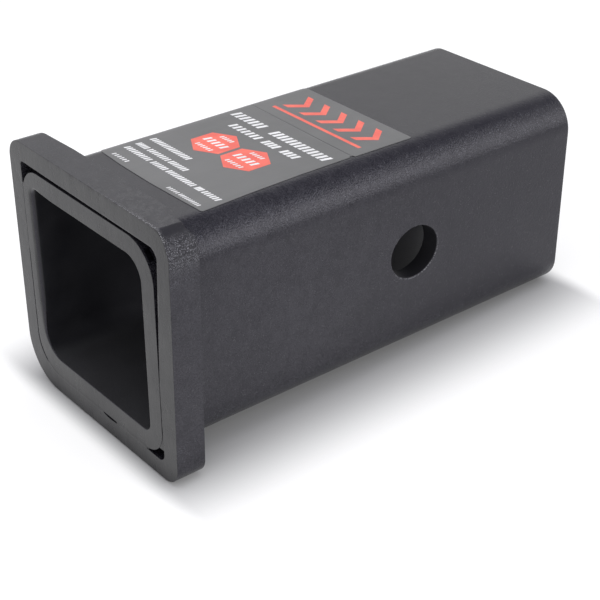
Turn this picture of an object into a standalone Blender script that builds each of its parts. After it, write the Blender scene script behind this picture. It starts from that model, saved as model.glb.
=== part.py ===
"""Hitch reducer sleeve: a square tube with a welded stop collar, cross pin holes and a label.

Metres, +Z up. The tube runs along Y with its open front at -Y. Every piece is first drawn
around the tube's own axis, and one empty then stands the whole part on its collar.
"""

from math import cos, pi, radians, sin, tan

import bmesh
import bpy
from mathutils import Vector

# Tube: the outer section slides into the receiver, the bore takes the smaller shank.
TUBE_WIDTH = 0.0635
TUBE_WALL = 0.00575
TUBE_LENGTH = 0.1524
TUBE_CORNER_TOP_RIGHT = 0.011
TUBE_CORNER_TOP_LEFT = 0.008
TUBE_CORNER_BOTTOM_LEFT = 0.0105
TUBE_CORNER_BOTTOM_RIGHT = 0.0085
BORE_CORNER_TOP_RIGHT = 0.005
BORE_CORNER_TOP_LEFT = 0.0025
BORE_CORNER_BOTTOM_LEFT = 0.006
BORE_CORNER_BOTTOM_RIGHT = 0.003
TUBE_EDGE = 0.0005

# Pin hole: drilled through both side walls, centred this far behind the front face.
PIN_HOLE_DIAMETER = 0.017
PIN_HOLE_FROM_FRONT = 0.089
PIN_HOLE_RISE = 0.0009
PIN_HOLE_SIDES = 32

# Collar: a short slice of larger tube, slipped over the front end and sitting loosely on it.
COLLAR_DEPTH = 0.009
COLLAR_WALL = 0.0057
COLLAR_CORNER_TOP_RIGHT = 0.0065
COLLAR_CORNER_TOP_LEFT = 0.006
COLLAR_CORNER_BOTTOM_LEFT = 0.014
COLLAR_CORNER_BOTTOM_RIGHT = 0.006
COLLAR_INSIDE_TOP_RIGHT = 0.0033
COLLAR_INSIDE_TOP_LEFT = 0.002
COLLAR_INSIDE_BOTTOM_RIGHT = 0.002
COLLAR_EDGE = 0.0006

# Clearances between the collar's opening and the tube, widest at the upper right.
GAP_LEFT = 0.0003
GAP_BOTTOM = 0.0003
GAP_TOP_AT_LEFT = 0.0012
GAP_TOP_AT_RIGHT = 0.00095
GAP_RIGHT_AT_TOP = 0.0019
GAP_RIGHT_AT_BOTTOM = 0.0007
CORNER_RELIEF = 0.0005

# Weld: a rippled fillet all the way round, in the corner between the collar's back and the tube.
SEAT_CLEARANCE = 0.0003
WELD_LEG = 0.0045
WELD_BELOW_COLLAR = 0.0009
WELD_RIPPLE_PITCH = 0.004
WELD_RIPPLE_DEPTH = 0.09
WELD_FULLNESS = 1.6
STEPS_PER_RIPPLE = 4
WELD_FACE_STEPS = 6

# Label: a thin sticker over the whole top flat that wraps a little way down both corners.
LABEL_SETBACK = 0.0119
LABEL_LENGTH = 0.0745
LABEL_THICKNESS = 0.0002
LABEL_CLEARANCE = 0.0001
LABEL_WRAP_LEFT = radians(40)
LABEL_WRAP_RIGHT = radians(7.5)
LABEL_FRONT_CORNER = 0.003
LABEL_REAR_CORNER = 0.0008
LABEL_FOLD_FROM_FRONT = 0.0527
LABEL_NOTCH_WIDTH = 0.0016
LABEL_NOTCH_DEPTH = 0.0009

OUTER_CORNER_STEPS = 8
INNER_CORNER_STEPS = 4
WELD_CORNER_STEPS = 12
LABEL_WRAP_LEFT_STEPS = 5
LABEL_WRAP_RIGHT_STEPS = 2
CUTTER_MARGIN = 0.005

HALF_TUBE = TUBE_WIDTH / 2
HALF_BORE = HALF_TUBE - TUBE_WALL


def clear_scene():
    """Remove whatever the open file holds."""
    for thing in list(bpy.data.objects):
        bpy.data.objects.remove(thing, do_unlink=True)


def new_collection(name):
    """Make a collection and link it to the scene."""
    collection = bpy.data.collections.new(name)
    bpy.context.scene.collection.children.link(collection)
    return collection


def surface(name, colour, roughness, metallic):
    """Make a plain Principled material."""
    material = bpy.data.materials.new(name)
    material.use_nodes = True
    shader = material.node_tree.nodes["Principled BSDF"]
    shader.inputs["Base Color"].default_value = (*colour, 1.0)
    shader.inputs["Roughness"].default_value = roughness
    shader.inputs["Metallic"].default_value = metallic
    return material


def square(half, radii):
    """Corners of a square with their radii, from the lower left and anticlockwise."""
    places = ((-half, -half), (half, -half), (half, half), (-half, half))
    return [(x, z, radius) for (x, z), radius in zip(places, radii)]


def rounded_outline(corners, steps):
    """Points of a closed outline with an arc at each corner, given as (x, y, radius)."""
    points = []
    for index, (x, y, radius) in enumerate(corners):
        here = Vector((x, y))
        behind = (Vector(corners[index - 1][:2]) - here).normalized()
        ahead = (Vector(corners[(index + 1) % len(corners)][:2]) - here).normalized()
        if radius == 0:
            points.append(here)
            continue
        half_angle = behind.angle(ahead) / 2
        centre = here + (behind + ahead).normalized() * radius / sin(half_angle)
        arm = here + behind * radius / tan(half_angle) - centre
        turn = pi - 2 * half_angle
        if behind.cross(ahead) > 0:
            turn = -turn
        for step in range(steps + 1):
            angle = turn * step / steps
            across = Vector((-arm.y, arm.x))
            points.append(centre + arm * cos(angle) + across * sin(angle))
    return points


def offset_places(places, distance):
    """Move each side of an anticlockwise outline outward by one distance and return its corners."""
    moved = []
    for index, here in enumerate(places):
        along_in = (here - places[index - 1]).normalized()
        along_out = (places[(index + 1) % len(places)] - here).normalized()
        normal_in = Vector((along_in.y, -along_in.x))
        normal_out = Vector((along_out.y, -along_out.x))
        moved.append(here + (normal_in + normal_out) * distance / (1 + normal_in.dot(normal_out)))
    return moved


def evenly_spaced(outline, count):
    """Read a closed outline at equal distances along it."""
    lengths = [(outline[(index + 1) % len(outline)] - point).length for index, point in enumerate(outline)]
    step = sum(lengths) / count
    points = []
    side = 0
    passed = 0.0
    for index in range(count):
        while passed + lengths[side] < index * step:
            passed += lengths[side]
            side += 1
        share = (index * step - passed) / lengths[side]
        points.append(outline[side].lerp(outline[(side + 1) % len(outline)], share))
    return points


def outline_curve(name, outlines, half_depth):
    """Fill closed outlines, the later ones as openings, and extrude them both ways."""
    data = bpy.data.curves.new(name, "CURVE")
    data.dimensions = "2D"
    data.fill_mode = "BOTH"
    data.extrude = half_depth
    for outline in outlines:
        spline = data.splines.new("POLY")
        spline.points.add(len(outline) - 1)
        for point, place in zip(spline.points, outline):
            point.co = (place.x, place.y, 0, 1)
        spline.use_cyclic_u = True
    thing = bpy.data.objects.new(name, data)
    bpy.context.scene.collection.objects.link(thing)
    return thing


def along_tube(thing, front, depth):
    """Turn an extruded section so that it runs along Y from its front."""
    thing.rotation_euler = (pi / 2, 0, 0)
    thing.location = (0, front + depth / 2, 0)


def mesh_from_curve(curve, collection):
    """Replace a curve by a welded mesh of the same shape, name and place."""
    bpy.context.view_layer.update()
    name = curve.name
    place = curve.matrix_world.copy()
    evaluated = curve.evaluated_get(bpy.context.evaluated_depsgraph_get())
    mesh = bpy.data.meshes.new_from_object(evaluated)
    bpy.data.objects.remove(curve, do_unlink=True)
    shape = bmesh.new()
    shape.from_mesh(mesh)
    bmesh.ops.remove_doubles(shape, verts=shape.verts, dist=0.000001)
    bmesh.ops.dissolve_limit(shape, angle_limit=0.0001, verts=shape.verts, edges=shape.edges)
    bmesh.ops.recalc_face_normals(shape, faces=shape.faces)
    shape.to_mesh(mesh)
    shape.free()
    mesh.name = name
    thing = bpy.data.objects.new(name, mesh)
    thing.matrix_world = place
    collection.objects.link(thing)
    return thing


def as_cutter(thing):
    """Keep a cutting shape out of the finished part."""
    thing.hide_render = True
    thing.display_type = "WIRE"


def cut(thing, cutter, operation):
    """Add a live Boolean."""
    boolean = thing.modifiers.new(cutter.name, "BOOLEAN")
    boolean.operation = operation
    boolean.solver = "EXACT"
    boolean.object = cutter


def soften_edges(thing, width):
    """Round the sawn and drilled edges slightly."""
    bevel = thing.modifiers.new("edges", "BEVEL")
    bevel.width = width
    bevel.segments = 2
    bevel.limit_method = "ANGLE"
    bevel.angle_limit = radians(50)
    bevel.use_clamp_overlap = False


def finish(thing, material, carrier):
    """Give a piece its material, smooth rounds and parent."""
    thing.data.materials.clear()
    thing.data.materials.append(material)
    thing.data.shade_smooth()
    thing.data.set_sharp_from_angle(angle=radians(30))
    thing.parent = carrier


def tube_radii():
    """Outer corner radii of the tube, from the lower left and anticlockwise."""
    return (TUBE_CORNER_BOTTOM_LEFT, TUBE_CORNER_BOTTOM_RIGHT, TUBE_CORNER_TOP_RIGHT, TUBE_CORNER_TOP_LEFT)


def build_tube(parts, cutters):
    """Square tube with the pin hole through both side walls."""
    bore_radii = (
        BORE_CORNER_BOTTOM_LEFT,
        BORE_CORNER_BOTTOM_RIGHT,
        BORE_CORNER_TOP_RIGHT,
        BORE_CORNER_TOP_LEFT,
    )
    outside = rounded_outline(square(HALF_TUBE, tube_radii()), OUTER_CORNER_STEPS)
    inside = rounded_outline(square(HALF_BORE, bore_radii), INNER_CORNER_STEPS)
    section = outline_curve("sleeve_tube", (outside, inside), TUBE_LENGTH / 2)
    along_tube(section, 0, TUBE_LENGTH)
    tube = mesh_from_curve(section, parts)

    bpy.ops.mesh.primitive_cylinder_add(
        vertices=PIN_HOLE_SIDES,
        radius=PIN_HOLE_DIAMETER / 2,
        depth=TUBE_WIDTH + 2 * CUTTER_MARGIN,
        location=(0, PIN_HOLE_FROM_FRONT, PIN_HOLE_RISE),
        rotation=(0, pi / 2, 0),
    )
    drill = bpy.context.object
    drill.name = "pin_hole_drill"
    for holder in list(drill.users_collection):
        holder.objects.unlink(drill)
    cutters.objects.link(drill)
    as_cutter(drill)
    cut(tube, drill, "DIFFERENCE")
    soften_edges(tube, TUBE_EDGE)
    return tube, drill


def collar_opening():
    """Corner places of the collar's opening around the tube, from the lower left."""
    return [
        Vector((-HALF_TUBE - GAP_LEFT, -HALF_TUBE - GAP_BOTTOM)),
        Vector((HALF_TUBE + GAP_RIGHT_AT_BOTTOM, -HALF_TUBE - GAP_BOTTOM)),
        Vector((HALF_TUBE + GAP_RIGHT_AT_TOP, HALF_TUBE + GAP_TOP_AT_RIGHT)),
        Vector((-HALF_TUBE - GAP_LEFT, HALF_TUBE + GAP_TOP_AT_LEFT)),
    ]


def with_radii(places, radii):
    """Join corner places and corner radii."""
    return [(place.x, place.y, radius) for place, radius in zip(places, radii)]


def collar_outside():
    """Outer outline of the collar: its opening moved out by the wall."""
    radii = (
        COLLAR_CORNER_BOTTOM_LEFT,
        COLLAR_CORNER_BOTTOM_RIGHT,
        COLLAR_CORNER_TOP_RIGHT,
        COLLAR_CORNER_TOP_LEFT,
    )
    places = offset_places(collar_opening(), COLLAR_WALL)
    return rounded_outline(with_radii(places, radii), OUTER_CORNER_STEPS)


def build_collar(parts):
    """Short slice of larger tube, flush with the front face."""
    radii = (
        TUBE_CORNER_BOTTOM_LEFT - CORNER_RELIEF,
        COLLAR_INSIDE_BOTTOM_RIGHT,
        COLLAR_INSIDE_TOP_RIGHT,
        COLLAR_INSIDE_TOP_LEFT,
    )
    inside = rounded_outline(with_radii(collar_opening(), radii), INNER_CORNER_STEPS)
    section = outline_curve("collar", (collar_outside(), inside), COLLAR_DEPTH / 2)
    along_tube(section, 0, COLLAR_DEPTH)
    collar = mesh_from_curve(section, parts)
    soften_edges(collar, COLLAR_EDGE)
    return collar


def weld_section():
    """Profile of the fillet from its root, with x toward the tube and y toward the front."""
    height = GAP_BOTTOM + COLLAR_WALL - SEAT_CLEARANCE - WELD_BELOW_COLLAR
    points = [Vector((0, 0))]
    for step in range(WELD_FACE_STEPS + 1):
        angle = pi / 2 * step / WELD_FACE_STEPS
        up = height * sin(angle) ** WELD_FULLNESS
        back = WELD_LEG * cos(angle) ** WELD_FULLNESS
        points.append(Vector((-up, -back)))
    return points


def build_weld(parts):
    """Rippled fillet weld swept round the tube behind the collar."""
    profile = outline_curve("weld_profile", (weld_section(),), 0)
    profile.data.fill_mode = "NONE"

    reach = HALF_TUBE + SEAT_CLEARANCE
    radii = [radius + SEAT_CLEARANCE for radius in tube_radii()]
    root = rounded_outline(square(reach, radii), WELD_CORNER_STEPS)
    around = sum((root[index] - root[index - 1]).length for index in range(len(root)))
    ripples = round(around / WELD_RIPPLE_PITCH)
    places = evenly_spaced(root, ripples * STEPS_PER_RIPPLE)

    path = outline_curve("weld_bead", (places,), 0)
    path.data.fill_mode = "NONE"
    path.data.bevel_mode = "OBJECT"
    path.data.bevel_object = profile
    for index, point in enumerate(path.data.splines[0].points):
        crest = sin(pi * (index % STEPS_PER_RIPPLE) / STEPS_PER_RIPPLE)
        point.radius = 1 - WELD_RIPPLE_DEPTH * (1 - crest)
    along_tube(path, COLLAR_DEPTH + SEAT_CLEARANCE, 0)
    weld = mesh_from_curve(path, parts)
    bpy.data.objects.remove(profile, do_unlink=True)
    return weld


def wrapped_points(centre, reach, turn, steps):
    """Points round a corner from the top face, turning to the right for a positive angle."""
    points = []
    for step in range(steps + 1):
        angle = turn * step / steps
        points.append(centre + reach * Vector((sin(angle), cos(angle))))
    return points


def label_section():
    """Cross-section of the sticker, which follows the top face and both upper corners."""
    upper_left = Vector((-HALF_TUBE + TUBE_CORNER_TOP_LEFT, HALF_TUBE - TUBE_CORNER_TOP_LEFT))
    upper_right = Vector((HALF_TUBE - TUBE_CORNER_TOP_RIGHT, HALF_TUBE - TUBE_CORNER_TOP_RIGHT))
    sides = []
    for lift in (LABEL_CLEARANCE, LABEL_CLEARANCE + LABEL_THICKNESS):
        left = wrapped_points(
            upper_left, TUBE_CORNER_TOP_LEFT + lift, -LABEL_WRAP_LEFT, LABEL_WRAP_LEFT_STEPS
        )
        right = wrapped_points(
            upper_right, TUBE_CORNER_TOP_RIGHT + lift, LABEL_WRAP_RIGHT, LABEL_WRAP_RIGHT_STEPS
        )
        sides.append(left[::-1] + right)
    return sides[0] + sides[1][::-1]


def label_plan():
    """Outline of the sticker from above, with the small notch where its fold meets the edge."""
    reach = TUBE_CORNER_TOP_RIGHT + LABEL_CLEARANCE
    right = HALF_TUBE - TUBE_CORNER_TOP_RIGHT + reach * sin(LABEL_WRAP_RIGHT)
    left = -HALF_TUBE - CUTTER_MARGIN
    front = COLLAR_DEPTH + LABEL_SETBACK
    rear = front + LABEL_LENGTH
    fold = front + LABEL_FOLD_FROM_FRONT
    return [
        (left, front, 0),
        (right, front, LABEL_FRONT_CORNER),
        (right, fold - LABEL_NOTCH_WIDTH / 2, 0),
        (right - LABEL_NOTCH_DEPTH, fold, 0),
        (right, fold + LABEL_NOTCH_WIDTH / 2, 0),
        (right, rear, LABEL_REAR_CORNER),
        (left, rear, 0),
    ]


def build_label(parts, cutters):
    """Thin sticker, trimmed to its outline."""
    front = COLLAR_DEPTH + LABEL_SETBACK
    section = outline_curve("label", (label_section(),), LABEL_LENGTH / 2 + CUTTER_MARGIN)
    along_tube(section, front, LABEL_LENGTH)
    label = mesh_from_curve(section, parts)

    plan = rounded_outline(label_plan(), INNER_CORNER_STEPS)
    trim = outline_curve("label_outline", (plan,), TUBE_WIDTH / 2)
    trim.location = (0, 0, HALF_TUBE)
    trim = mesh_from_curve(trim, cutters)
    as_cutter(trim)
    cut(label, trim, "INTERSECT")
    return label, trim


def build():
    """Model the sleeve and stand it on its collar."""
    clear_scene()
    parts = new_collection("hitch_reducer_sleeve")
    cutters = new_collection("cutters")

    black_coat = surface("black_powder_coat", (0.045, 0.045, 0.05), 0.55, 0.1)
    coated_weld = surface("coated_weld", (0.045, 0.045, 0.05), 0.5, 0.1)
    grey_print = surface("grey_label", (0.22, 0.22, 0.22), 0.5, 0.0)

    outside = collar_outside()
    left = min(point.x for point in outside)
    right = max(point.x for point in outside)
    lowest = min(point.y for point in outside)
    carrier = bpy.data.objects.new("sleeve_frame", None)
    parts.objects.link(carrier)
    carrier.location = (-(left + right) / 2, -TUBE_LENGTH / 2, -lowest)

    tube, drill = build_tube(parts, cutters)
    finish(tube, black_coat, carrier)
    finish(build_collar(parts), black_coat, carrier)
    finish(build_weld(parts), coated_weld, carrier)
    label, trim = build_label(parts, cutters)
    finish(label, grey_print, carrier)
    for cutter in (drill, trim):
        cutter.parent = carrier


build()
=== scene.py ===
from math import atan2, copysign, cos, hypot, pi, radians, sin

import bmesh
import bpy
from mathutils import Matrix, Vector, kdtree, noise


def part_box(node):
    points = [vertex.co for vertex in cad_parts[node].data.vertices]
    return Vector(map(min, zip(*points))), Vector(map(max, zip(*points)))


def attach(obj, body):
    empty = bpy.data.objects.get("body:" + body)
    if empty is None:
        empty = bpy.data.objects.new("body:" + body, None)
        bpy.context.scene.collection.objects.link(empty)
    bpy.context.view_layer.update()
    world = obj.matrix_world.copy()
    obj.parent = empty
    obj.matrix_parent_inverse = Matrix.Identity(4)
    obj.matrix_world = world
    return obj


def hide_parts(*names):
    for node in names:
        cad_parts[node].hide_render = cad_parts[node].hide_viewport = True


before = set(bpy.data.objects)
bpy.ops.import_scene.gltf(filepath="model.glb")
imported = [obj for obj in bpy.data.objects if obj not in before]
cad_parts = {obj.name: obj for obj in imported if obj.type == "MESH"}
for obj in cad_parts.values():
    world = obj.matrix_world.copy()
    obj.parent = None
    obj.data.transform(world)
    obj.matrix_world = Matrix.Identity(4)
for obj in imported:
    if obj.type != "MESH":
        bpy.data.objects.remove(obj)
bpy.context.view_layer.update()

MM = 0.001

# The CAD says where the tube and the collar stand. AXIS is the tube's axis at its front face.
TUBE_LOW, TUBE_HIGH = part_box("sleeve_tube")
COLLAR_LOW, COLLAR_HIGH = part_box("collar")
AXIS = Vector(((TUBE_LOW.x + TUBE_HIGH.x) / 2, TUBE_LOW.y, (TUBE_LOW.z + TUBE_HIGH.z) / 2))

# Corners and their radii in millimetres from the tube's axis, as x and z, seen from the front:
# lower left, lower right, then up the right side and back along the top. A fifth corner bends the
# right side a little, or cuts off the upper right corner.
HALF_TUBE = 31.75
TUBE_CORNERS = ((-31.75, -31.75), (31.75, -31.75), (31.75, 31.75), (-31.75, 31.75))
TUBE_RADII = (10.5, 8.5, 11.0, 8.0)
BORE_CORNERS = ((-27.4, -26), (26, -26), (26, 26), (-27.4, 26))
BORE_RADII = (8.0, 3.0, 6.5, 2.5)
TUBE_SEAM_CORNERS = ((-31.75, -31.75), (31.75, -31.75), (31.75, -6.0), (31.75, 31.75), (-31.75, 31.75))
TUBE_SEAM_RADII = (10.5, 8.5, 0.4, 11.0, 8.0)
OPENING_CORNERS = ((-32.05, -31.86), (32.2, -32.3), (31.95, -6.0), (34.0, 32.4), (-31.86, 32.95))
OPENING_RADII = (10.1, 2.6, 0.4, 3.3, 1.2)
COLLAR_CORNERS = ((-37.75, -37.75), (38.044, -37.75), (39.29, 35.0), (34.0, 38.42), (-37.75, 38.672))
COLLAR_RADII = (14.0, 6.0, 4.5, 0.5, 6.0)
# The pin hole in millimetres, how much longer and lower than round it is, and the drill's length.
HOLE_BACK = 89.15
HOLE_RISE = 1.0
HOLE_RADIUS = 8.5
HOLE_LONG = 1.045
HOLE_HIGH = 0.95
DRILL_LENGTH = 80.0
# The slit in the collar's underside, from one x to another, and how far it is scooped out.
SLIT = (1.6, 9.6)
SLIT_DEPTH = 0.42


def from_axis(x, y, z):
    """A place given in millimetres from the tube's axis at the front face."""
    return AXIS + Vector((x, y, z)) * MM


class Channel:
    """A socket that carries a number, a vector or a colour; sums on it add Math nodes."""

    def __init__(self, owner, socket):
        self.owner = owner
        self.socket = socket

    def math(self, operation, first, second=None):
        inputs = {0: first}
        if second is not None:
            inputs[1] = second
        return self.owner.node("ShaderNodeMath", {"operation": operation}, inputs)

    def __add__(self, other):
        return self.math("ADD", self, other)

    __radd__ = __add__

    def __sub__(self, other):
        return self.math("SUBTRACT", self, other)

    def __rsub__(self, other):
        return self.math("SUBTRACT", other, self)

    def __mul__(self, other):
        return self.math("MULTIPLY", self, other)

    __rmul__ = __mul__

    def __abs__(self):
        return self.math("ABSOLUTE", self)

    def at_least(self, other):
        return self.math("MAXIMUM", self, other)

    def root(self):
        return self.math("SQRT", self)


class Tree:
    """A node tree under construction."""

    def __init__(self, tree):
        self.nodes = tree.nodes
        self.links = tree.links

    def node(self, kind, settings=None, inputs=None, output=0):
        made = self.nodes.new(kind)
        for key, value in (settings or {}).items():
            setattr(made, key, value)
        for key, value in (inputs or {}).items():
            if isinstance(value, Channel):
                self.links.new(value.socket, made.inputs[key])
            else:
                made.inputs[key].default_value = value
        return Channel(self, made.outputs[output])

    def split(self, vector):
        """The three numbers of a vector."""
        made = self.nodes.new("ShaderNodeSeparateXYZ")
        self.links.new(vector.socket, made.inputs[0])
        return [Channel(self, socket) for socket in made.outputs]

    def between(self, value, low, high, start=0.0, end=1.0):
        """Map a range smoothly on to another."""
        inputs = {"Value": value, "From Min": low, "From Max": high, "To Min": start, "To Max": end}
        return self.node("ShaderNodeMapRange", {"interpolation_type": "SMOOTHSTEP"}, inputs)

    def mix(self, share, first, second):
        """Mix two colours."""
        inputs = {0: share, 6: first, 7: second}
        return self.node("ShaderNodeMix", {"data_type": "RGBA"}, inputs, output=2)


class Finish(Tree):
    """A material under construction."""

    def __init__(self, name):
        self.material = bpy.data.materials.new(name)
        self.material.use_nodes = True
        super().__init__(self.material.node_tree)
        self.shader = self.nodes["Principled BSDF"]

    def place(self):
        """Object coordinates, in metres."""
        return self.node("ShaderNodeTexCoord", output="Object")

    def noise(self, where, size, detail=2.0, roughness=0.5):
        """Cloudy noise with features of about this size in metres, from 0 to 1."""
        inputs = {"Vector": where, "Scale": 1 / size, "Detail": detail, "Roughness": roughness}
        return self.node("ShaderNodeTexNoise", None, inputs)

    def dots(self, where, size, brim, core):
        """Round dots of about this size in metres, and a number from 0 to 1 that differs per dot."""
        made = self.node("ShaderNodeTexVoronoi", None, {"Vector": where, "Scale": 1 / size})
        reach = Channel(self, made.socket.node.outputs["Distance"])
        luck = self.split(Channel(self, made.socket.node.outputs["Color"]))[0]
        return self.between(reach, brim, core), luck

    def stretch(self, where, scale, turn=(0, 0, 0)):
        """Scale and turn coordinates."""
        inputs = {"Vector": where, "Rotation": turn, "Scale": scale}
        return self.node("ShaderNodeMapping", {"vector_type": "POINT"}, inputs)

    def bump(self, height, depth, under=None):
        """Relief: height from 0 to 1 stands for this depth in metres."""
        inputs = {"Height": height, "Distance": depth, "Strength": 1.0}
        if under is not None:
            inputs["Normal"] = under
        return self.node("ShaderNodeBump", None, inputs)

    def wear(self, **sockets):
        """Set the shader's sockets, by value or by link."""
        for key, value in sockets.items():
            socket = self.shader.inputs[key.replace("_", " ")]
            if isinstance(value, Channel):
                self.links.new(value.socket, socket)
            else:
                socket.default_value = value
        return self.material


def pin_hole_masks(coat, back, level, across, grit):
    """Masks of the pin hole's wall, darkened with painted shade, and of a painted highlight along its
    lower rear rim.
    """
    side = (back - HOLE_BACK * MM) * (1 / HOLE_LONG)
    above = (level - HOLE_RISE * MM) * (1 / HOLE_HIGH)
    reach = (side * side + above * above).root()
    # The hole's wall, to be darkened with painted shade.
    drilled = coat.between(reach, 0.0087, 0.0085)
    # The rim's lower rear part, to carry a painted highlight.
    rim = coat.between(reach, 0.0086, 0.0087) * coat.between(reach, 0.0093, 0.0089)
    rim = rim * coat.between(across, 0.0311, 0.0316) * coat.between(grit, 0.48, 0.64)
    rim = rim * coat.between(0.5 * side - 0.8 * above, -0.001, 0.004)
    return drilled, rim


def powder_coat():
    """Black textured powder coat: fine on the flats and pebbled over the square's corners."""
    coat = Finish("black_powder_coat")
    where = coat.place()
    parts = coat.split(where)
    right = parts[0] - AXIS.x
    back = parts[1] - AXIS.y
    level = parts[2] - AXIS.z
    across = abs(right)
    height = abs(level)

    # The tube's corners, with painted highlight specks where light falls on them, and the collar's, where
    # coat lies thick, with coarser grain, painted shade and painted glints.
    under_kink = coat.between(height, 0.0372, 0.0354)
    corner = coat.between(across, 0.0255, 0.0285) * coat.between(height, 0.0225, 0.0255) * under_kink
    pale = corner * coat.between(level, -0.03, -0.02, 0.25, 1.0)
    thick = coat.between(across, 0.0352, 0.0372) * coat.between(level, 0.0255, 0.0318) * under_kink
    # The collar's upper front edge and the kink of its upper right corner, which get painted glints.
    brow = coat.between(level, 0.0371, 0.038) * coat.between(right, 0.002, 0.032)
    brow = brow + coat.between(level, 0.0345, 0.036) * coat.between(right, 0.0338, 0.0342)
    brow = brow * coat.between(back, 0.0012, 0.0001)
    # The collar's upper right corner at the kink, darkened with painted shade.
    kink_shade = coat.between(across, 0.034, 0.035) * coat.between(level, 0.0335, 0.0355)
    # The tops of the collar and of the tube, scuffed near the front.
    crown = coat.between(level, 0.0379, 0.0383) * coat.between(right, -0.012, 0.02, 0.25, 1.0)
    tube_top = coat.between(level, 0.0312, 0.0317) * coat.between(level, 0.033, 0.0325)
    # The rounded lip of the bore, darkened with painted shade.
    lip_shade = coat.between(across, 0.03, 0.0294) * coat.between(height, 0.03, 0.0294)
    lip_shade = lip_shade * coat.between(back, 0.0, 0.001) * coat.between(back, 0.0024, 0.002)

    specks = coat.noise(where, 0.00026, 1.0, 0.5)
    grit = coat.noise(where, 0.0004, 1.0, 0.6)
    pebbles = coat.noise(where, 0.0006, 2.0, 0.6)
    patches = coat.noise(where, 0.003, 3.0, 0.6)
    swell = coat.noise(where, 0.005, 2.0, 0.5)
    cloud = coat.noise(where, 0.018, 3.0, 0.6)
    blotches = coat.between(coat.noise(where, 0.0024, 2.0, 0.6), 0.35, 0.65)
    dots, luck = coat.dots(where, 0.00026, 0.6, 0.35)
    drilled, rim = pin_hole_masks(coat, back, level, across, grit)

    relief = coat.bump(swell, 0.00004)
    relief = coat.bump(pebbles, 0.00007, relief)
    relief = coat.bump((grit - 0.5) * corner * (1 + thick), 0.00012, relief)

    shade = coat.between(0.15 * cloud + 0.2 * patches + 0.25 * pebbles + 0.4 * specks, 0.4, 0.6)
    # Painted highlight specks on the tube's corners where light falls.
    tops = coat.between(0.6 * specks + 0.4 * grit, 0.5, 0.66) * pale * (0.35 + 0.65 * blotches)
    rubbed = coat.between(coat.noise(where, 0.0016, 3.0, 0.65), 0.42, 0.62) * (crown + 0.3 * tube_top)
    rubbed = rubbed * coat.between(back, 0.03, 0.016)
    sparks = dots * coat.between(luck, 0.93, 1.0) * (0.15 + 0.25 * blotches)
    colour = coat.mix(shade, (0.007, 0.0067, 0.0098, 1), (0.0265, 0.0255, 0.031, 1))
    for share, layer in (
        # Painted shade: darker toward the rear, against the brighter light on the tube there.
        (0.6 * coat.between(back, 0.03, 0.14), (0.0035, 0.003, 0.0065, 1)),
        (0.4 * rubbed, (0.06, 0.06, 0.062, 1)),
        # Painted highlight specks on the tube's corners.
        (tops, (0.07, 0.071, 0.083, 1)),
        # Painted shade at the kink of the collar's upper right corner.
        (kink_shade, (0.003, 0.003, 0.005, 1)),
        (sparks, (0.12, 0.12, 0.125, 1)),
        # Painted shade and painted glints on the collar's corners.
        (thick, (0.008, 0.008, 0.01, 1)),
        (dots * luck * luck * thick, (0.19, 0.19, 0.21, 1)),
        # Painted glints on the collar's upper front edge.
        (dots * luck * brow, (0.34, 0.34, 0.35, 1)),
        # Painted shade on the pin hole's wall.
        (drilled, (0.003, 0.003, 0.004, 1)),
        # Painted shade on the bore's lip.
        (lip_shade, (0.002, 0.002, 0.003, 1)),
        # Painted highlight along the pin hole's lower rear rim.
        (rim, (0.14, 0.14, 0.15, 1)),
    ):
        colour = coat.mix(share, colour, layer)
    rough = coat.between(0.3 * swell + 0.4 * patches + 0.3 * pebbles, 0.35, 0.65, 0.16, 0.26)
    rough = rough + 0.5 * drilled + 0.3 * kink_shade
    return coat.wear(
        Base_Color=colour, Roughness=rough, Normal=relief, IOR=1.43, Specular_Tint=(1.0, 0.98, 1.08, 1)
    )


def cut_steel_coat():
    """The same coat over sawn steel, mottled, with the saw's faint marks under it."""
    coat = Finish("coated_saw_cut")
    where = coat.place()
    marks = coat.noise(coat.stretch(where, (1.0, 1.0, 0.12), (0, radians(8), 0)), 0.0016, 2.0, 0.5)
    pebbles = coat.noise(where, 0.0006, 2.0, 0.6)
    patches = coat.noise(coat.stretch(where, (1.0, 1.0, 0.5)), 0.0024, 4.0, 0.65)
    cloud = coat.noise(where, 0.014, 2.0, 0.6)
    relief = coat.bump(patches, 0.00007)
    relief = coat.bump(marks, 0.00002, relief)
    relief = coat.bump(pebbles, 0.00004, relief)
    shade = coat.between(0.4 * cloud + 0.4 * patches + 0.2 * pebbles, 0.38, 0.62)
    colour = coat.mix(shade, (0.0095, 0.0092, 0.011, 1), (0.03, 0.0296, 0.031, 1))
    rough = coat.between(patches, 0.3, 0.7, 0.26, 0.36)
    return coat.wear(Base_Color=colour, Roughness=rough, Normal=relief, IOR=1.43)


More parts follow.
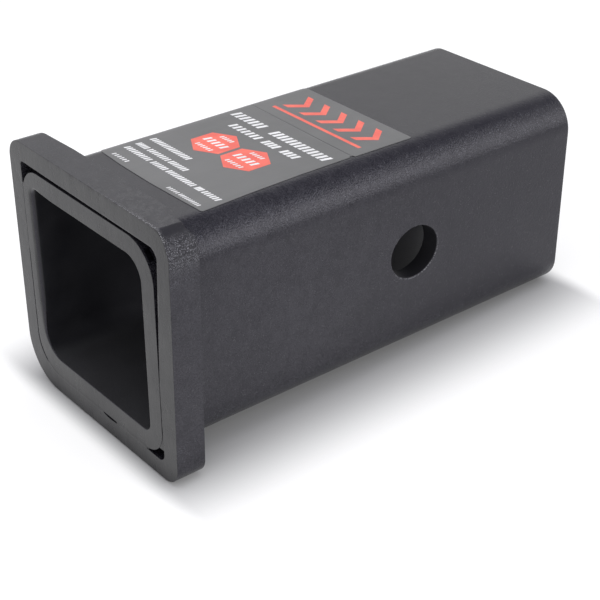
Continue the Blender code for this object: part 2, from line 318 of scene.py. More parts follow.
def bore_coat():
    """The thin dull coat inside the tube, with painted light along the bottom and deeper in, and painted
    shade at the mouth and toward the rear.
    """
    coat = Finish("thin_inner_coat")
    where = coat.place()
    parts = coat.split(where)
    back = parts[1] - AXIS.y
    level = parts[2] - AXIS.z
    cloud = coat.noise(where, 0.009, 3.0, 0.6)
    pebbles = coat.noise(where, 0.0007, 2.0, 0.6)
    # Painted light along the bottom, where light from the rear opening falls.
    lit_bottom = coat.between(level + 0.002 * cloud, -0.0225, -0.0255)
    lit_bottom_colour = coat.mix(cloud, (0.03, 0.03, 0.032, 1), (0.05, 0.05, 0.053, 1))
    # Painted light and shade: darker at the mouth, lighter deeper in and low down.
    deep = coat.between(back, 0.005, 0.055)
    low = coat.between(level, -0.002, -0.02) * coat.between(back, 0.015, 0.045)
    share = 0.6 * deep + 0.15 * cloud + 0.35 * low
    bare = coat.mix(share, (0.006, 0.006, 0.008, 1), (0.085, 0.084, 0.096, 1))
    colour = coat.mix(lit_bottom, bare, lit_bottom_colour)
    # Painted shade toward the rear.
    colour = coat.mix(0.6 * coat.between(back, 0.075, 0.1), colour, (0.008, 0.008, 0.01, 1))
    relief = coat.bump(pebbles, 0.00005)
    rough = coat.between(cloud, 0.3, 0.7, 0.4, 0.5)
    return coat.wear(Base_Color=colour, Roughness=rough, Normal=relief, IOR=1.4)


def label_film():
    """Grey satin film of the label, with painted light toward the front."""
    film = Finish("grey_label")
    where = film.place()
    cloud = film.noise(where, 0.016, 3.0, 0.55)
    fibre = film.noise(where, 0.0009, 2.0, 0.5)
    streaks = film.noise(film.stretch(where, (1.0, 0.12, 1.0), (0, 0, radians(35))), 0.003, 2.0, 0.5)
    shade = film.between(0.7 * cloud + 0.3 * streaks, 0.35, 0.65)
    colour = film.mix(shade, (0.112, 0.113, 0.113, 1), (0.132, 0.132, 0.132, 1))
    # Painted light: the film is lighter toward the front.
    near = film.between(film.split(where)[1] - AXIS.y, 0.075, 0.02)
    colour = film.mix(0.6 * near, colour, (0.16, 0.16, 0.16, 1))
    relief = film.bump(cloud, 0.0001)
    relief = film.bump(fibre, 0.00001, relief)
    rough = film.between(streaks, 0.3, 0.7, 0.33, 0.4)
    return film.wear(Base_Color=colour, Roughness=rough, Normal=relief)


def ink(name, colour, paler):
    """Printed ink on the film."""
    print_ink = Finish(name)
    where = print_ink.place()
    cloud = print_ink.noise(where, 0.004, 3.0, 0.5)
    shade = print_ink.mix(print_ink.between(cloud, 0.35, 0.65), colour, paler)
    relief = print_ink.bump(print_ink.noise(where, 0.0008, 2.0, 0.5), 0.000012)
    rough = print_ink.between(cloud, 0.3, 0.7, 0.38, 0.46)
    return print_ink.wear(Base_Color=shade, Roughness=rough, Normal=relief)


def floor_paper():
    """Pale seamless floor that glows a little, as if lit from below, with a painted shadow round the
    sleeve where the glow fades out.
    """
    paper = Finish("pale_floor")
    where = paper.place()
    parts = paper.split(where)
    half = (TUBE_HIGH - TUBE_LOW) / 2
    side = (abs(parts[0] - AXIS.x) - half.x).at_least(0.0)
    end = (abs(parts[1] - (AXIS.y + half.y)) - half.y).at_least(0.0)
    # The distance from the sleeve, true and with four times the weight past its ends, where the
    # shade is short.
    away = (side * side + end * end).root()
    close = (side * side + 16 * end * end).root()
    # Painted shadow: the glow fades out close to the sleeve; it is also dimmer far off and toward the
    # rear.
    lit = paper.between(close, -0.004, 0.03) * (1 - 0.6 * paper.between(away, 0.35, 0.9))
    lit = lit * (1 - 0.12 * paper.between(parts[1] - AXIS.y, 0.04, 0.2))
    glow = paper.mix(lit, (0.03, 0.03, 0.03, 1), (1.0, 1.0, 1.0, 1))
    cloud = paper.noise(where, 0.3, 2.0, 0.5)
    colour = paper.mix(cloud, (0.44, 0.44, 0.44, 1), (0.46, 0.46, 0.46, 1))
    return paper.wear(
        Base_Color=colour,
        Emission_Color=glow,
        Emission_Strength=0.68,
        Roughness=0.8,
        Specular_IOR_Level=0.2,
    )


def new_piece(name, mesh, materials):
    """Turn a bmesh into a finished piece at the origin."""
    data = bpy.data.meshes.new(name)
    mesh.to_mesh(data)
    mesh.free()
    piece = bpy.data.objects.new(name, data)
    bpy.context.scene.collection.objects.link(piece)
    for material in materials:
        data.materials.append(material)
    return piece


def rounded_loop(mesh, corners, radii, steps, back):
    """A loop across the tube, this far back, whose corners each have their own radius."""
    places = [mesh.verts.new(from_axis(x, back, z)) for x, z in corners]
    mesh.faces.new(places)
    for place, radius in zip(places, radii):
        bmesh.ops.bevel(
            mesh,
            geom=[place],
            offset=radius * MM,
            offset_type="OFFSET",
            segments=steps,
            profile=0.5,
            affect="VERTICES",
            material=-1,
        )
    face = [face for face in mesh.faces if len(face.verts) > len(corners)][-1]
    edges = list(face.edges)
    mesh.faces.remove(face)
    return edges


def square_ring(outer, inner, steps, depth):
    """A closed ring between two rounded loops, run back from the front face."""
    mesh = bmesh.new()
    outer_edges = rounded_loop(mesh, *outer, steps, 0)
    inner_edges = rounded_loop(mesh, *inner, steps, 0)
    ring = bmesh.ops.bridge_loops(mesh, edges=outer_edges + inner_edges)["faces"]
    run = bmesh.ops.extrude_face_region(mesh, geom=ring, use_keep_orig=True)
    moved = [part for part in run["geom"] if isinstance(part, bmesh.types.BMVert)]
    bmesh.ops.translate(mesh, verts=moved, vec=(0, depth, 0))
    bmesh.ops.recalc_face_normals(mesh, faces=mesh.faces)
    return mesh


def slice_up(mesh, axis, places):
    """Cut the mesh across an axis at these places, to give it resolution."""
    normal = Vector((0, 0, 0))
    normal[axis] = 1
    for place in places:
        point = Vector((0, 0, 0))
        point[axis] = place
        geom = list(mesh.verts) + list(mesh.edges) + list(mesh.faces)
        bmesh.ops.bisect_plane(mesh, geom=geom, dist=1e-7, plane_co=point, plane_no=normal)


def steps_between(low, high, step):
    """Evenly spaced places between two ends."""
    count = max(1, round((high - low) / step))
    return [low + (high - low) * index / count for index in range(count + 1)]


def slice_flats(mesh, low, high, step):
    """Cut the flats of a square section across and up and down, in millimetres from the axis."""
    slice_up(mesh, 0, [AXIS.x + place * MM for place in steps_between(low, high, step)])
    slice_up(mesh, 2, [AXIS.z + place * MM for place in steps_between(low, high, step)])


def end_edges(mesh, back, outside):
    """The sharp edges round one end of a ring, on its outside or on its inside."""
    mesh.normal_update()
    edges = []
    for edge in mesh.edges:
        if max(abs(vert.co.y - back) for vert in edge.verts) > 1e-6:
            continue
        walls = [face for face in edge.link_faces if abs(face.normal.y) < 0.5]
        if len(walls) != 1:
            continue
        middle = (edge.verts[0].co + edge.verts[1].co) / 2
        if (walls[0].normal.dot(middle - AXIS) > 0) == outside:
            edges.append(edge)
    return edges


def round_edges(mesh, edges, width, segments=3):
    """Round edges by this width in millimetres, and say which faces came of it."""
    made = bmesh.ops.bevel(
        mesh,
        geom=edges,
        offset=width * MM,
        offset_type="OFFSET",
        segments=segments,
        profile=0.5,
        affect="EDGES",
        clamp_overlap=False,
        material=-1,
    )
    return made["faces"]


def round_unevenly(mesh, edges, width, segments, share):
    """Round edges by this width in millimetres times shares that depend on the place."""
    mesh.verts.index_update()
    ends = sorted({vert for edge in edges for vert in edge.verts}, key=lambda vert: vert.index)
    corners = kdtree.KDTree(len(ends))
    for index, vert in enumerate(ends):
        corners.insert(vert.co, index)
    corners.balance()
    rounded = round_edges(mesh, edges, width, segments)
    for vert in {vert for face in rounded for vert in face.verts}:
        corner = corners.find(vert.co)[0]
        vert.co = corner + Matrix.Diagonal(share((corner - AXIS) / MM)) @ (vert.co - corner)


def ramp(value, low, high):
    """Rise evenly from 0 at one value to 1 at the other."""
    return min(1.0, max(0.0, (value - low) / (high - low)))


def left_lip(place):
    """The bore's left edge is rounded wider than the others."""
    wide = 0.5 + 2.1 * ramp(-place.x, 21.0, 27.2) * ramp(place.z, -26.0, -8.0)
    return Vector((wide * 1.25, wide * 0.85, wide))


def worn_shoulder(place):
    """Only the upper left of the collar's rear edge is ground round."""
    wide = 0.04 + 1.0 * ramp(-place.x, 18.0, 33.0) * ramp(place.z, 20.0, 32.0)
    return Vector((wide, wide, wide))


def open_joint(place):
    """The joint's edges are sharp along the bottom, where coat lies flush over them."""
    wide = 1.0 - 0.9 * ramp(-place.z, 27.0, 31.0) * ramp(24.0 - place.x, 0.0, 3.0)
    return Vector((wide, wide, wide))


def paint_ends(piece):
    """Give the sawn faces of both ends the second finish."""
    ends = [function(vert.co.y for vert in piece.data.vertices) for function in (min, max)]
    for face in piece.data.polygons:
        if abs(face.normal.y) > 0.9 and min(abs(face.center.y - end) for end in ends) < MM:
            face.material_index = 1


def paint_bore(piece):
    """Give the faces inside the bore the third finish."""
    reach = -BORE_CORNERS[0][0] + 0.2
    for face in piece.data.polygons:
        place = (face.center - AXIS) / MM
        if abs(face.normal.y) < 0.9 and max(abs(place.x), abs(place.z)) < reach and place.y > 0.8:
            face.material_index = 2


def smooth(piece, angle=35):
    """Smooth shading that keeps the flats flat."""
    piece.data.shade_smooth()
    piece.data.set_sharp_from_angle(angle=radians(angle))
    weighted = piece.modifiers.new("flats", "WEIGHTED_NORMAL")
    weighted.keep_sharp = True
    weighted.weight = 80


def drill_through(tube):
    """Drill the pin hole through both side walls of the tube."""
    drill_mesh = bmesh.new()
    across = Matrix.Rotation(pi / 2, 4, "Y")
    oval = Matrix.Diagonal((1, HOLE_LONG, HOLE_HIGH, 1))
    bmesh.ops.create_cone(
        drill_mesh,
        cap_ends=True,
        segments=96,
        radius1=HOLE_RADIUS * MM,
        radius2=HOLE_RADIUS * MM,
        depth=DRILL_LENGTH * MM,
        matrix=Matrix.Translation(from_axis(0, HOLE_BACK, HOLE_RISE)) @ oval @ across,
    )
    drill = new_piece("drill", drill_mesh, ())
    boolean = tube.modifiers.new("pin_hole", "BOOLEAN")
    boolean.operation = "DIFFERENCE"
    boolean.solver = "EXACT"
    boolean.object = drill
    evaluated = tube.evaluated_get(bpy.context.evaluated_depsgraph_get())
    data = bpy.data.meshes.new_from_object(evaluated)
    tube.modifiers.clear()
    tube.data = data
    bpy.data.objects.remove(drill, do_unlink=True)


def dress_hole(tube):
    """Break the drilled hole's edges and leave a slightly ragged rim on them."""
    mesh = bmesh.new()
    mesh.from_mesh(tube.data)
    bmesh.ops.remove_doubles(mesh, verts=mesh.verts, dist=1e-7)
    middle = from_axis(0, HOLE_BACK, HOLE_RISE)

    def spread(vert):
        return hypot((vert.co.y - middle.y) / HOLE_LONG, (vert.co.z - middle.z) / HOLE_HIGH) / MM

    rim = []
    for edge in mesh.edges:
        if len(edge.link_faces) == 2 and edge.calc_face_angle(0) > 1.2:
            if max(spread(vert) for vert in edge.verts) < HOLE_RADIUS + 0.2:
                rim.append(edge)
    round_edges(mesh, rim, 0.28)
    for vert in mesh.verts:
        out = abs(vert.co.x - AXIS.x) / MM
        if out < HALF_TUBE - 0.4 or not HOLE_RADIUS - 0.05 < spread(vert) < HOLE_RADIUS + 0.4:
            continue
        rough = noise.noise(vert.co * 700) + 0.5 * noise.noise(vert.co * 1900)
        vert.co.x += copysign(max(-0.1, rough) * 0.2 * MM, vert.co.x - AXIS.x)
        away = Vector((0, vert.co.y - middle.y, vert.co.z - middle.z)).normalized()
        vert.co += away * noise.noise(vert.co * 900 + Vector((7, 0, 0))) * 0.12 * MM
    mesh.to_mesh(tube.data)
    mesh.free()


def build_tube(coat, cut_coat, inner_coat):
    """The long tube, with the pin hole drilled through both side walls."""
    length = TUBE_HIGH.y - TUBE_LOW.y
    mesh = square_ring((TUBE_CORNERS, TUBE_RADII), (BORE_CORNERS, BORE_RADII), 20, length)
    # The slices keep clear of the corners' arcs.
    slice_flats(mesh, -17.3, 19.5, 4.0)
    slice_up(mesh, 1, steps_between(TUBE_LOW.y + 0.002, TUBE_HIGH.y - 0.002, 0.004))
    round_unevenly(mesh, end_edges(mesh, TUBE_LOW.y, True), 0.12, 2, open_joint)
    round_unevenly(mesh, end_edges(mesh, TUBE_LOW.y, False), 0.6, 5, left_lip)
    round_edges(mesh, end_edges(mesh, TUBE_HIGH.y, True), 0.45)
    round_edges(mesh, end_edges(mesh, TUBE_HIGH.y, False), 0.35)
    tube = new_piece("tube_shell", mesh, (coat, cut_coat, inner_coat))
    drill_through(tube)
    dress_hole(tube)
    paint_ends(tube)
    paint_bore(tube)
    smooth(tube)
    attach(tube, "root")
    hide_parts("sleeve_tube")


def build_collar(coat, cut_coat):
    """The collar, sawn from larger tube and dressed by hand along its upper front edge."""
    depth = COLLAR_HIGH.y - COLLAR_LOW.y
    mesh = square_ring((COLLAR_CORNERS, COLLAR_RADII), (OPENING_CORNERS, OPENING_RADII), 16, depth)
    # Fine slices let the upper edge ripple and the slit curve.
    slice_flats(mesh, -23.5, 33.0, 0.7)
    slice_up(mesh, 1, [COLLAR_LOW.y + 0.003, COLLAR_LOW.y + 0.006])
    slice_up(mesh, 2, [AXIS.z + 0.0374])
    round_edges(mesh, end_edges(mesh, COLLAR_LOW.y, True), 0.12, 2)
    round_unevenly(mesh, end_edges(mesh, COLLAR_LOW.y, False), 0.12, 2, open_joint)
    round_unevenly(mesh, end_edges(mesh, COLLAR_HIGH.y, True), 1.0, 4, worn_shoulder)
    for vert in mesh.verts:
        place = (vert.co - AXIS) / MM
        # The slit in the underside.
        if abs(place.z + 32.1) < 0.4 and SLIT[0] < place.x < SLIT[1]:
            vert.co.z -= SLIT_DEPTH * sin(pi * (place.x - SLIT[0]) / (SLIT[1] - SLIT[0])) * MM
        # The kink over the cut-off corner runs outward to the rear.
        if place.x > 33.6 and place.z > 31.5:
            vert.co.x += (0.5 + 0.1 * place.y) * (1 - ramp(place.x, 34.0, 37.24)) * MM
        # The rear edge is ground back at that corner.
        if place.y > 8.5:
            vert.co.y -= 1.8 * ramp(place.x, 28.0, 32.0) * ramp(place.z, 35.0, 37.4) * MM
        # The upper front edge is dressed unevenly.
        if place.y > 0.6 or place.z < 37.7 or place.x > 33.5:
            continue
        ripple = 0.6 * noise.noise(vert.co * 330) + 0.4 * noise.noise(vert.co * 1100)
        ripple = max(0.0, ripple) * ramp(place.x, -22.0, 3.0)
        vert.co.y += 0.45 * ripple * MM
        vert.co.z -= 0.25 * ripple * MM
    collar = new_piece("collar_ring", mesh, (coat, cut_coat))
    paint_ends(collar)
    smooth(collar)
    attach(collar, "root")
    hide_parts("collar")


def seam_is_bridged(x, z):
    """Whether coat bridges the joint between tube and collar at this place."""
    if z > 26.5 or (x > 0 and z > -6.5) or (x < 0 and -29.5 < z < 6.0):
        return False
    if z < -28 and 2.0 < x < 9.3:
        return False
    return not (x > 24.4 and z < -28.6)


# Half the width of the strip of coat along the underside, how far out from the tube's skin its
# middle lies, and how long its tips are.
STRIP_HALF = 0.5
STRIP_MIDDLE = 0.18
TIP_LENGTH = 1.5


def lower_joint(run):
    """A place on the joint's underside, this far right of the lower left arc's end, and the way out."""
    centre = TUBE_RADII[0] - HALF_TUBE
    if run > 0:
        return centre + run, -HALF_TUBE, 0.0, -1.0
    turn = run / TUBE_RADII[0]
    reach = TUBE_RADII[0]
    return centre + reach * sin(turn), centre - reach * cos(turn), sin(turn), -cos(turn)


def fill_joint(mesh, start, end):
    """Lay coat flush over the joint's underside from one place to another, narrow at both tips."""
    made = bmesh.ops.create_grid(mesh, x_segments=round(end - start) * 2, y_segments=4, size=1.0)
    for vert in made["verts"]:
        along = (vert.co.x + 1) / 2
        run = start + (end - start) * along
        tip = max(0.1, min(1.0, min(along, 1 - along) * (end - start) / TIP_LENGTH) ** 0.5)
        x, z, out_x, out_z = lower_joint(run)
        half = (STRIP_HALF + 0.12 * noise.noise(Vector((run * 0.9, vert.co.y, 0)))) * tip
        out = STRIP_MIDDLE + half * vert.co.y
        proud = 0.02 + 0.03 * (1 - vert.co.y * vert.co.y) * tip
        vert.co = from_axis(x + out_x * out, -proud, z + out_z * out)


def build_seam_coat(cut_coat):
    """Coat that bridges the narrow joint between tube and collar, and stops where it is wide."""
    mesh = bmesh.new()
    outer_edges = rounded_loop(mesh, OPENING_CORNERS, OPENING_RADII, 24, 0.1)
    inner_edges = rounded_loop(mesh, TUBE_SEAM_CORNERS, TUBE_SEAM_RADII, 24, 0.1)
    bmesh.ops.bridge_loops(mesh, edges=outer_edges + inner_edges)
    slice_flats(mesh, -29.5, 26.5, 0.5)
    bare = []
    for face in mesh.faces:
        place = (face.calc_center_median() - AXIS) / MM
        if not seam_is_bridged(place.x, place.z):
            bare.append(face)
    bmesh.ops.delete(mesh, geom=bare, context="FACES")
    # The coat's front is uneven, and nearly flush on the left.
    for vert in mesh.verts:
        place = (vert.co - AXIS) / MM
        sunk = 0.3 if place.x < 0 else 1.0
        vert.co.y += ((0.1 + 0.35 * noise.noise(vert.co * 420)) * 0.35 * sunk - 0.09 * (1 - sunk)) * MM
    fill_joint(mesh, -6.8, 23.7)
    fill_joint(mesh, 30.1, 45.4)
    run = bmesh.ops.extrude_face_region(mesh, geom=list(mesh.faces), use_keep_orig=True)
    moved = [part for part in run["geom"] if isinstance(part, bmesh.types.BMVert)]
    bmesh.ops.translate(mesh, verts=moved, vec=(0, 0.002, 0))
    bmesh.ops.recalc_face_normals(mesh, faces=mesh.faces)
    seam = new_piece("seam_coat", mesh, (cut_coat,))
    smooth(seam, 60)
    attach(seam, "root")


def around_tube(x, z):
    """How far round the tube a place is, the way out from its skin and the height over it, in mm."""
    start = 0.0
    for quarter, radius in enumerate((TUBE_RADII[2], TUBE_RADII[3], TUBE_RADII[0], TUBE_RADII[1])):
        centre = HALF_TUBE - radius
        side = ((x, z), (z, -x), (-x, -z), (-z, x))[quarter]
        if side[0] > 0 and side[1] >= 0:
            break
        start += 2 * centre + radius * pi / 2
    across, along = side
    if along <= centre:
        run, way, height = along, (1.0, 0.0), across - HALF_TUBE
    elif across <= centre:
        run, way, height = centre + radius * pi / 2 + centre - across, (0.0, 1.0), along - HALF_TUBE
    else:
        turn = atan2(along - centre, across - centre)
        run, way = centre + radius * turn, (cos(turn), sin(turn))
        height = hypot(along - centre, across - centre) - radius
    ways = (way, (-way[1], way[0]), (-way[0], -way[1]), (way[1], -way[0]))
    return start + run, ways[quarter], height


# How far out from the tube's skin and how far back each corner of the weld's section stands, and
# how far apart its scales are.
WELD_PITCH = 1.35
WELD_SECTION = (
    (-0.2, 8.8),
    (4.7, 8.8),
    (4.75, 9.4),
    (4.3, 10.15),
    (3.6, 10.9),
    (2.75, 11.55),
    (1.85, 12.1),
    (0.9, 12.5),
    (-0.2, 12.7),
)


def build_weld(coat):
    """The fillet weld behind the collar: a run of overlapping scales with wandering toes."""
    mesh = bmesh.new()
    rings = []
    for out, back in WELD_SECTION:
        corners = [(x + copysign(out, x), z + copysign(out, z)) for x, z in TUBE_CORNERS]
        rings.append(rounded_loop(mesh, corners, [radius + out for radius in TUBE_RADII], 40, back))
    for first, second in zip(rings, rings[1:] + rings[:1]):
        bmesh.ops.bridge_loops(mesh, edges=first + second)
    slice_flats(mesh, -21.0, 20.5, 0.4)
    bmesh.ops.recalc_face_normals(mesh, faces=mesh.faces)
    whole = sum(2 * (HALF_TUBE - radius) + radius * pi / 2 for radius in TUBE_RADII)
    scales = round(whole / WELD_PITCH)
    for vert in mesh.verts:
        place = (vert.co - AXIS) / MM
        run, way, height = around_tube(place.x, place.z)
        rise = place.y - WELD_SECTION[0][1]
        if height < 0 and rise < 0.1:
            continue
        # The share is 0 at the toe on the collar and 1 at the toe on the tube.
        turn = atan2(max(0.0, rise), height - WELD_SECTION[0][0])
        share = turn / (pi / 2)
        crown = sin(pi * share)
        phase = run / whole * scales + 1.3 * (share - 0.5) ** 2
        scale = abs(sin(pi * phase)) - 0.6
        # A circle gives noise that closes on itself.
        circle = Vector((cos(2 * pi * run / whole), sin(2 * pi * run / whole), 0))
        drift = noise.noise(circle * 9)
        lift = crown * (0.24 * scale + 0.3 * drift) + (1 - crown) * 0.22 * noise.noise(circle * 30)
        lean = Vector((way[0] * cos(turn), sin(turn), way[1] * cos(turn)))
        if rise < 0.1:
            lean = Vector((way[0], 0, way[1]))
        elif height < 0:
            lean = Vector((0, 1, 0))
        vert.co += lean * lift * MM
    weld = new_piece("weld_run", mesh, (coat,))
    smooth(weld, 60)
    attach(weld, "root")
    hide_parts("weld_bead")


# Corners of the label laid flat: across the top of the tube, and back from the front face.
LABEL_PLAN = (
    (-29.3, 21.9),
    (-14.0, 21.0),
    (0.0, 20.8),
    (14.0, 21.2),
    (22.6, 21.6),
    (21.9, 38.0),
    (21.5, 56.0),
    (21.55, 72.6),
    (21.1, 73.0),
    (21.15, 73.9),
    (21.9, 74.3),
    (22.25, 95.2),
    (-29.3, 95.6),
)
# Radii of the corners that are round, the ends of the crease, and the film's thickness.
LABEL_CORNERS = {0: 5.5, 4: 0.8, 11: 0.5, 12: 1.5}
LABEL_FOLD = ((-24.7, 74.5), (21.4, 73.5))
LABEL_FILM = 0.13
LABEL_LIFT = 0.02
# Heights of the print over the tube's axis, and middles of the hexagons.
PRINT_TOP = HALF_TUBE + LABEL_LIFT + LABEL_FILM + 0.002
OVER_HEXAGON = PRINT_TOP + 0.011
HEXAGONS = ((-9.6, 49.5), (4.7, 49.3))


def on_tube(across, back, lift):
    """Lay a place of the flat label on the tube's top, round its corners, with this lift."""
    left = HALF_TUBE - TUBE_RADII[3]
    right = HALF_TUBE - TUBE_RADII[2]
    if across < -left:
        turn = (-left - across) / TUBE_RADII[3]
        reach = TUBE_RADII[3] + lift
        return from_axis(-left - reach * sin(turn), back, left + reach * cos(turn))
    if across > right:
        turn = (across - right) / TUBE_RADII[2]
        reach = TUBE_RADII[2] + lift
        return from_axis(right + reach * sin(turn), back, right + reach * cos(turn))
    return from_axis(across, back, HALF_TUBE + lift)


def build_label(film):
    """The label: a thin film with a crease across it, wrapped over the tube's corners."""
    mesh = bmesh.new()
    corners = [mesh.verts.new((across, back, LABEL_LIFT)) for across, back in LABEL_PLAN]
    mesh.faces.new(corners)
    for index, radius in LABEL_CORNERS.items():
        bmesh.ops.bevel(
            mesh,
            geom=[corners[index]],
            offset=radius,
            offset_type="OFFSET",
            segments=8,
            profile=0.5,
            affect="VERTICES",
            material=-1,
        )
    run = bmesh.ops.extrude_face_region(mesh, geom=list(mesh.faces), use_keep_orig=True)
    moved = [part for part in run["geom"] if isinstance(part, bmesh.types.BMVert)]
    bmesh.ops.translate(mesh, verts=moved, vec=(0, 0, LABEL_FILM))
    bmesh.ops.recalc_face_normals(mesh, faces=mesh.faces)
    mesh.normal_update()
    brims = []
    for edge in mesh.edges:
        if min(vert.co.z for vert in edge.verts) > LABEL_FILM and edge.calc_face_angle(0) > 0.5:
            brims.append(edge)
    round_edges(mesh, brims, 0.05 / MM, 2)
    slice_up(mesh, 0, steps_between(-29.0, 22.0, 1.0))
    slice_up(mesh, 1, steps_between(24.0, 94.0, 5.0))
    start, end = (Vector((across, back, 0)) for across, back in LABEL_FOLD)
    along = (end - start).normalized()
    over = Vector((-along.y, along.x, 0))
    for offset in (-0.9, -0.22, 0.0, 0.22, 0.9):
        geom = list(mesh.verts) + list(mesh.edges) + list(mesh.faces)
        bmesh.ops.bisect_plane(mesh, geom=geom, dist=1e-5, plane_co=start + over * offset, plane_no=over)
    # The crease is a groove between two low ridges, in the film's upper side only.
    for vert in mesh.verts:
        away = abs((vert.co - start).dot(over))
        if vert.co.z > LABEL_FILM / 2:
            vert.co.z -= 0.11 * max(0.0, 1 - away / 0.2)
            vert.co.z += 0.035 * max(0.0, 1 - abs(away - 0.5) / 0.4)
        vert.co = on_tube(*vert.co)
    sheet = new_piece("label_sheet", mesh, (film,))
    smooth(sheet, 50)
    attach(sheet, "root")
    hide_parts("label")


def flat_shape(mesh, points, top=PRINT_TOP):
    """A flat printed shape."""
    mesh.faces.new([mesh.verts.new(from_axis(x, y, top)) for x, y in points])


def bar(x, y, width, height, lean=0.0):
    """Corners of a bar, with its top pushed sideways by the lean."""
    half_w = width / 2
    half_h = height / 2
    return [
        (x - half_w - lean * half_h, y - half_h),
        (x + half_w - lean * half_h, y - half_h),
        (x + half_w + lean * half_h, y + half_h),
        (x - half_w + lean * half_h, y + half_h),
    ]


def stroke_row(mesh, words, y, height, thick, pitch, top=PRINT_TOP):
    """A row of short leaning strokes in groups, each group from one x to another."""
    for start, end in words:
        run = end - start - thick
        count = max(1, round(run / pitch))
        for index in range(count + 1):
            x = start + thick / 2 + run * index / count
            flat_shape(mesh, bar(x, y, thick, height, STROKE_LEAN), top)


def printed(name, mesh, material, depth):
    """Give the printed shapes the thickness of ink."""
    run = bmesh.ops.extrude_face_region(mesh, geom=list(mesh.faces), use_keep_orig=True)
    moved = [part for part in run["geom"] if isinstance(part, bmesh.types.BMVert)]
    bmesh.ops.translate(mesh, verts=moved, vec=(0, 0, depth * MM))
    bmesh.ops.recalc_face_normals(mesh, faces=mesh.faces)
    piece = new_piece(name, mesh, (material,))
    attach(piece, "root")


def hexagon(x, y, radius):
    """Corners of a hexagon that stands on a point."""
    return [(x + radius * sin(pi * k / 3), y + radius * cos(pi * k / 3)) for k in range(6)]


# Rows of strokes: groups from one x to another, how far back, and height, thickness and pitch.
STROKE_LEAN = 0.25
STROKE_ROWS = (
    (((-23.2, -9.8), (-5.2, 19.0)), 66.8, 3.4, 1.2, 1.95),
    (((-17.0, -4.2), (-1.8, 4.0), (6.6, 12.7)), 61.0, 2.8, 1.1, 1.8),
    (((-23.3, -5.3),), 37.6, 2.0, 0.74, 1.16),
    (((-23.3, -18.5), (-17.6, -8.3), (-7.4, 0.1)), 32.7, 1.9, 0.74, 1.16),
    (((-23.2, -11.6), (-10.2, -3.8), (-2.8, 9.2), (10.4, 12.9), (13.7, 20.4)), 28.8, 1.9, 0.74, 1.16),
    (((-21.8, -14.8),), 23.6, 1.3, 0.6, 1.3),
    (((5.6, 10.2), (11.0, 19.7)), 23.0, 1.2, 0.5, 0.92),
)
# Rows on a hexagon: half width, place over its middle, and height, thickness and pitch.
HEXAGON_ROWS = ((2.6, 4.1, 1.4, 0.62, 1.15), (4.4, 0.2, 2.6, 1.0, 1.9), (3.4, -3.9, 1.4, 0.62, 1.15))
# A chevron round its own middle.
CHEVRON = ((-3.6, 5.0), (-1.0, 5.0), (3.0, 0.0), (-1.0, -5.0), (-3.6, -5.0), (0.4, 0.0))


def build_print(coral, white):
    """Plain shapes and strokes on the label."""
    shapes = bmesh.new()
    for x, y in HEXAGONS:
        flat_shape(shapes, hexagon(x, y, 7.55))
    for index in range(5):
        x = -16.0 + index * 7.7
        flat_shape(shapes, [(x + right, 86.6 + up) for right, up in CHEVRON])
    flat_shape(shapes, bar(-1.0, 79.0, 39.0, 1.2))
    printed("label_coral_print", shapes, coral, 0.01)

    strokes = bmesh.new()
    for row in STROKE_ROWS:
        stroke_row(strokes, *row)
    for x, y in HEXAGONS:
        for half, up, height, thick, pitch in HEXAGON_ROWS:
            stroke_row(strokes, [(x - half, x + half)], y + up, height, thick, pitch, OVER_HEXAGON)
    printed("label_white_print", strokes, white, 0.006)


def build_floor(material):
    """A pale floor that touches the two lower edges on which the sleeve lies."""
    front = Vector((0, COLLAR_HIGH.y, COLLAR_LOW.z))
    rear = Vector((0, TUBE_HIGH.y, TUBE_LOW.z))
    slope = atan2(rear.z - front.z, rear.y - front.y)
    mesh = bmesh.new()
    turn = Matrix.Translation(front - Vector((0, 0, 0.0001))) @ Matrix.Rotation(slope, 4, "X")
    bmesh.ops.create_grid(mesh, x_segments=2, y_segments=2, size=3.0, matrix=turn)
    new_piece("floor", mesh, (material,))


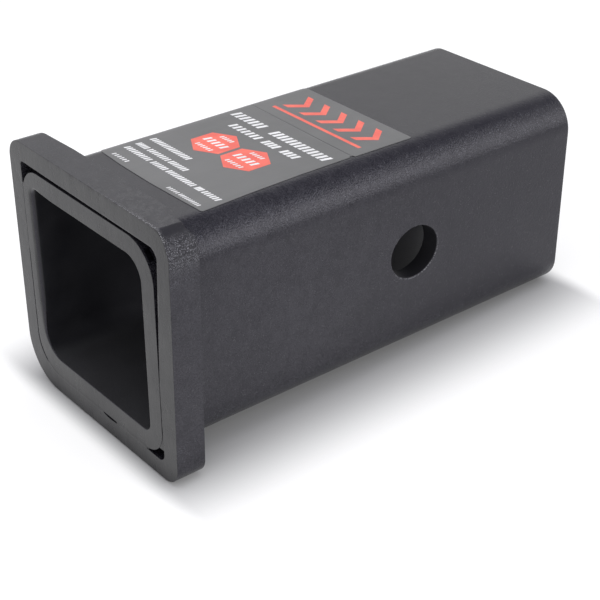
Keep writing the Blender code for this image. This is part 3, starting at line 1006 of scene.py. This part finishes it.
def build_world():
    """A white studio: bright walls to head height, a dim ceiling and a window light at the right."""
    world = bpy.data.worlds.new("studio")
    bpy.context.scene.world = world
    world.use_nodes = True
    sky = Tree(world.node_tree)
    # Heights are sines of the angle over the horizon.
    where = sky.node("ShaderNodeTexCoord", output="Generated")
    height = sky.split(where)[2]
    ceiling = sky.between(height, 0.61, 0.67)
    wall = sky.between(height, -0.1, 0.38, 0.68, 0.8) + sky.between(height, 0.385, 0.465, 0.0, 0.45)
    window = Vector((0.73, 0.56, 0.38)).normalized()
    toward = sky.node("ShaderNodeVectorMath", {"operation": "DOT_PRODUCT"}, {0: where, 1: window}, "Value")
    glow = sky.between(toward, 0.76, 0.96, 0.0, 0.45)
    lamp = sky.between(toward, 0.95, 0.985, 0.0, 2.0)
    light = wall * (1 - ceiling) + 0.42 * ceiling + glow + lamp
    tint = sky.mix(ceiling, (1.0, 1.0, 1.0, 1), (0.97, 0.97, 1.13, 1))
    background = world.node_tree.nodes["Background"]
    sky.links.new(tint.socket, background.inputs["Color"])
    sky.links.new(light.socket, background.inputs["Strength"])


def softbox(name, place, aim, size, power):
    """A square soft light."""
    light = bpy.data.lights.new(name, "AREA")
    light.shape = "SQUARE"
    light.size = size
    light.energy = power
    lamp = bpy.data.objects.new(name, light)
    lamp.location = place
    lamp.rotation_euler = (Vector(aim) - Vector(place)).to_track_quat("-Z", "Y").to_euler()
    bpy.context.scene.collection.objects.link(lamp)


# The view fitted to the photograph: focal length as a share of the picture's width, place in
# millimetres from the tube's axis at the front face, and degrees down and round.
VIEW_FOCAL = 1424.68 / 600
VIEW_PLACE = (291.589, -164.514, 195.815)
VIEW_DOWN = 30.254
VIEW_ROUND = 50.899


def build_camera():
    """The photograph's view."""
    data = bpy.data.cameras.new("camera")
    data.sensor_width = 36
    data.lens = VIEW_FOCAL * data.sensor_width
    data.clip_start = 0.01
    data.clip_end = 20
    camera = bpy.data.objects.new("camera", data)
    camera.location = from_axis(*VIEW_PLACE)
    camera.rotation_euler = (radians(90 - VIEW_DOWN), 0, radians(VIEW_ROUND))
    bpy.context.scene.collection.objects.link(camera)
    bpy.context.scene.camera = camera


coat = powder_coat()
cut_coat = cut_steel_coat()
build_tube(coat, cut_coat, bore_coat())
build_collar(coat, cut_coat)
build_seam_coat(cut_coat)
build_weld(coat)
build_label(label_film())
coral = ink("coral_ink", (0.86, 0.125, 0.09, 1), (0.95, 0.17, 0.12, 1))
white = ink("white_ink", (0.8, 0.8, 0.8, 1), (0.9, 0.9, 0.9, 1))
build_print(coral, white)
build_floor(floor_paper())
build_world()
softbox("overhead", (0.1, -0.1, 1.2), (0, 0, 0), 0.9, 5)
build_camera()
bpy.context.scene.view_settings.view_transform = "Standard"
